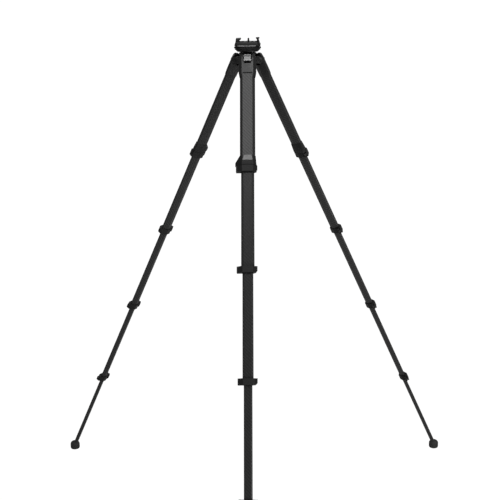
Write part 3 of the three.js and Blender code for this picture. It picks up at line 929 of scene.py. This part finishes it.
def column_end_cap():
    """A cup round the column's foot."""
    low = local_box("centre_column", HEAD)[0].z
    cup = [(AXIS, low - 0.2), (9.4, low - 0.2), (10.9, low + 1.4), (10.9, low + 9)]
    cup += [(10.55, low + 9.6), (10.55, low + 0.4), (AXIS, low + 0.4)]
    make("column_end_cap", [lathe(cup)], HEAD, "column", PLASTIC)


deck_pads()
deck_screw()
bubble_level()
clamp_trim()
jaw_screws()
column_bush()
column_end_cap()


# ---- stage, light and camera --------------------------------------------------------
WHITE = 1.05  # how bright the floor and the world show
AMBIENT = 0.42  # how strongly the world lights the object
FLOOR_GREY = 0.6  # how much light the floor gives back
FLOOR_HALF = 40.0  # metres

CAMERA_YAW = math.radians(1.06)
CAMERA_PITCH = math.radians(15.035)
CAMERA_ROLL = math.radians(0.625)
CAMERA_DISTANCE = 2.7845  # metres, level, from the tripod's axis
CAMERA_HEIGHT = 1.4851
LENS = 76.9
SENSOR = 36.0
SHIFT = 0.0005


def white_floor():
    """A floor that shows as plain white, and gives back only a soft light."""
    mesh = bpy.data.meshes.new("floor")
    half = FLOOR_HALF
    corners = [(-half, -half, 0), (half, -half, 0), (half, half, 0), (-half, half, 0)]
    mesh.from_pydata(corners, [], [(0, 1, 2, 3)])
    floor = bpy.data.objects.new("floor", mesh)
    bpy.context.scene.collection.objects.link(floor)
    g = Graph("white_floor")
    g.set(Roughness=0.9, Specular_IOR_Level=0.1)
    g.shader.inputs["Base Color"].default_value = (FLOOR_GREY, FLOOR_GREY, FLOOR_GREY, 1)
    glow = g.add("ShaderNodeEmission")
    glow.inputs["Strength"].default_value = WHITE
    seen = g.add("ShaderNodeLightPath").outputs["Is Camera Ray"]
    blend = g.add("ShaderNodeMixShader")
    g.link(seen, blend.inputs[0])
    g.link(g.shader.outputs[0], blend.inputs[1])
    g.link(glow.outputs[0], blend.inputs[2])
    g.link(blend.outputs[0], g.tree.nodes["Material Output"].inputs["Surface"])
    mesh.materials.append(g.material)


def white_world():
    """A world that shows as plain white, and lights the object softly."""
    world = bpy.data.worlds.new("studio")
    bpy.context.scene.world = world
    world.use_nodes = True
    nodes, links = world.node_tree.nodes, world.node_tree.links
    seen = nodes.new("ShaderNodeLightPath").outputs["Is Camera Ray"]
    strength = nodes.new("ShaderNodeMapRange")
    links.new(seen, strength.inputs["Value"])
    strength.inputs["To Min"].default_value = AMBIENT
    strength.inputs["To Max"].default_value = WHITE
    nodes["Background"].inputs["Color"].default_value = (1, 1, 1, 1)
    links.new(strength.outputs["Result"], nodes["Background"].inputs["Strength"])


def area_light(name, at, towards, size, power):
    """A soft rectangular light that the camera doesn't see."""
    light = bpy.data.lights.new(name, "AREA")
    light.shape = "RECTANGLE"
    light.size, light.size_y = size
    light.energy = power
    obj = bpy.data.objects.new(name, light)
    bpy.context.scene.collection.objects.link(obj)
    obj.location = at
    obj.rotation_euler = (Vector(towards) - Vector(at)).to_track_quat("-Z", "Y").to_euler()
    obj.visible_camera = False


def camera():
    """A long lens a little higher than the head, facing the front leg."""
    axis = Vector(JOINTS["head_tilt"]["pos_m"])
    aside = CAMERA_DISTANCE * math.sin(CAMERA_YAW)
    back = CAMERA_DISTANCE * math.cos(CAMERA_YAW)
    at = Vector((axis.x + aside, axis.y - back, CAMERA_HEIGHT))
    data = bpy.data.cameras.new("camera")
    data.sensor_width = SENSOR
    data.lens = LENS
    data.shift_x = SHIFT
    obj = bpy.data.objects.new("camera", data)
    bpy.context.scene.collection.objects.link(obj)
    yaw = Matrix.Rotation(CAMERA_YAW, 4, "Z")
    pitch = Matrix.Rotation(math.pi / 2 - CAMERA_PITCH, 4, "X")
    roll = Matrix.Rotation(-CAMERA_ROLL, 4, "Z")
    obj.matrix_world = Matrix.Translation(at) @ yaw @ pitch @ roll
    bpy.context.scene.camera = obj


white_floor()
white_world()
area_light("key", (-0.25, -1.75, 3.3), (0, 0, 1.1), (1.5, 1.1), 48)
area_light("top", (0.8, 1.0, 3.4), (0, 0, 0.6), (2.0, 2.0), 30)
area_light("bounce", (0.95, -1.05, 0.03), (0.1, 0.1, 0.75), (1.5, 1.1), 46)
camera()
bpy.context.scene.view_settings.view_transform = "Standard"
